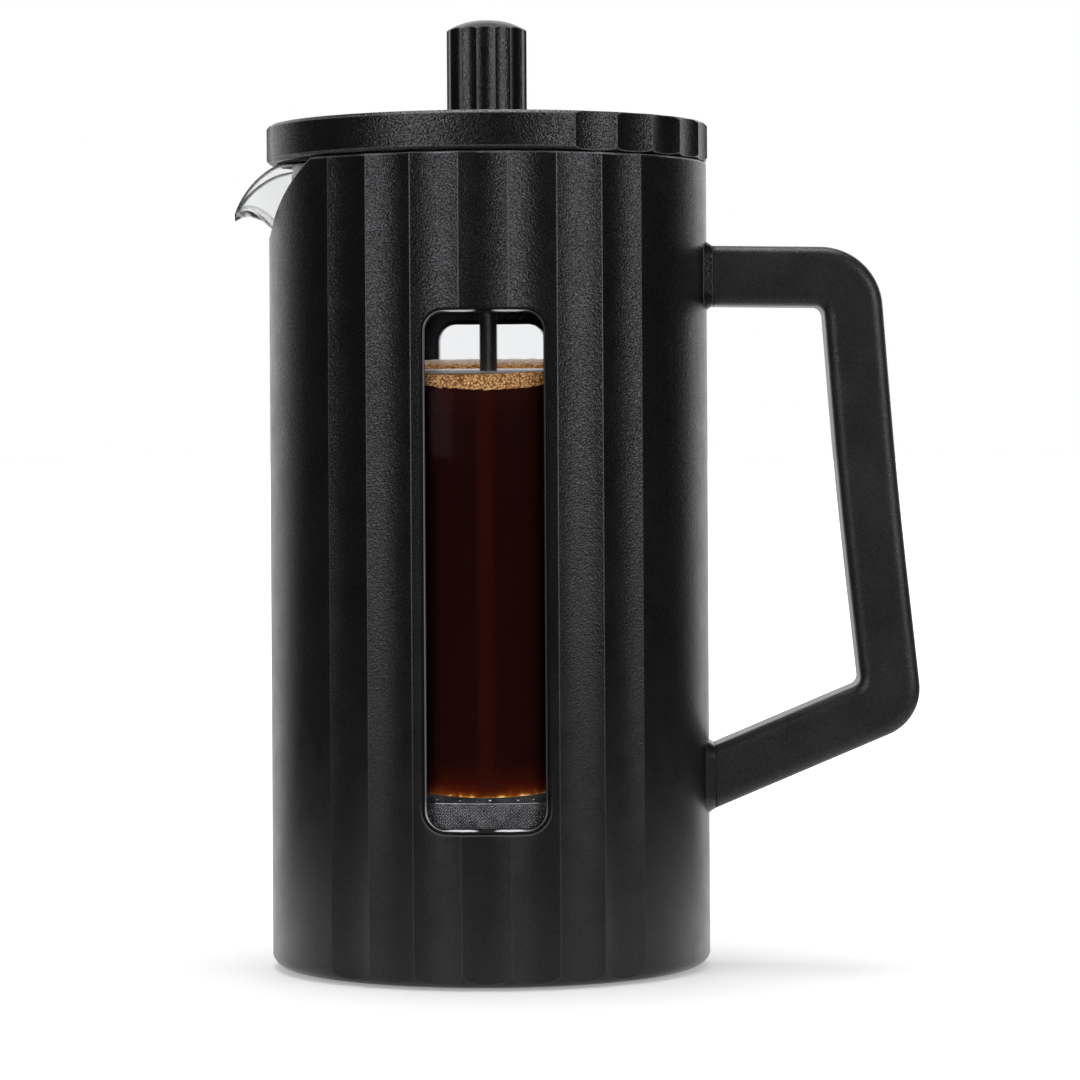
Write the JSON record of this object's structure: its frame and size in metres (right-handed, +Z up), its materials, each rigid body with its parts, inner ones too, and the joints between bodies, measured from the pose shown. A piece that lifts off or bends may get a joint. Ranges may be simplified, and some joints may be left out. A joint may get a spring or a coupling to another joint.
{
  "type": "french press",
  "caption": "French press: fluted black shell round a spouted glass beaker, with windows, an angular handle, a turning lid and a sprung mesh plunger.",
  "frame": {"origin": "on the beaker axis, at the surface that the foot ring stands on", "axes": "+Z up along the rod, the spout points to -X, the handle to +X, the windows face -Y and +Y"},
  "size_m": [0.1633, 0.106, 0.2267],
  "materials": {
    "shell_plastic": "fine pebbled matte black moulding",
    "lid_plastic": "fine pebbled matte black moulding",
    "liner_plastic": "smooth satin black moulding",
    "knob_plastic": "fine pebbled flutes with a smooth crown",
    "glass": "clear borosilicate glass",
    "silicone": "soft dark silicone",
    "steel": "polished stainless steel",
    "mesh_steel": "fine woven stainless screen",
    "screw_steel": "zinc plated screws",
    "brass": "turned brass insert"
  },
  "bodies": {
    "shell": {"housing": "shell_plastic", "handle": "shell_plastic", "handle_screws": "screw_steel", "base_cover": "shell_plastic", "base_screws": "screw_steel", "foot_ring": "silicone", "beaker_cushion": "silicone"},
    "beaker": {"beaker": "glass"},
    "lid_ring": {"lid_gasket": "silicone"},
    "lid": {"lid_cover": "lid_plastic", "lid_liner": "liner_plastic", "rod_bush": "steel", "bush_nut": "steel"},
    "plunger": {"plunger_rod": "steel", "knob": "knob_plastic", "knob_insert": "brass", "spiral_plate": "steel", "coil_spring": "steel", "filter_mesh": "mesh_steel", "cross_plate": "steel", "filter_nut": "steel"}
  },
  "joints": [
    {"name": "beaker_lift", "type": "slide", "parent": "shell", "child": "beaker", "axis": [0, 0, 1], "range_m": [0, 0.175]},
    {"name": "lid_lift", "type": "slide", "parent": "beaker", "child": "lid_ring", "axis": [0, 0, 1], "range_m": [0, 0.165]},
    {"name": "lid_turn", "type": "hinge", "parent": "lid_ring", "child": "lid", "pos_m": [0, 0, 0.1932], "axis": [0, 0, 1], "continuous": true},
    {"name": "plunger_slide", "type": "slide", "parent": "lid", "child": "plunger", "axis": [0, 0, 1], "range_m": [0, 0.129]}
  ]
}
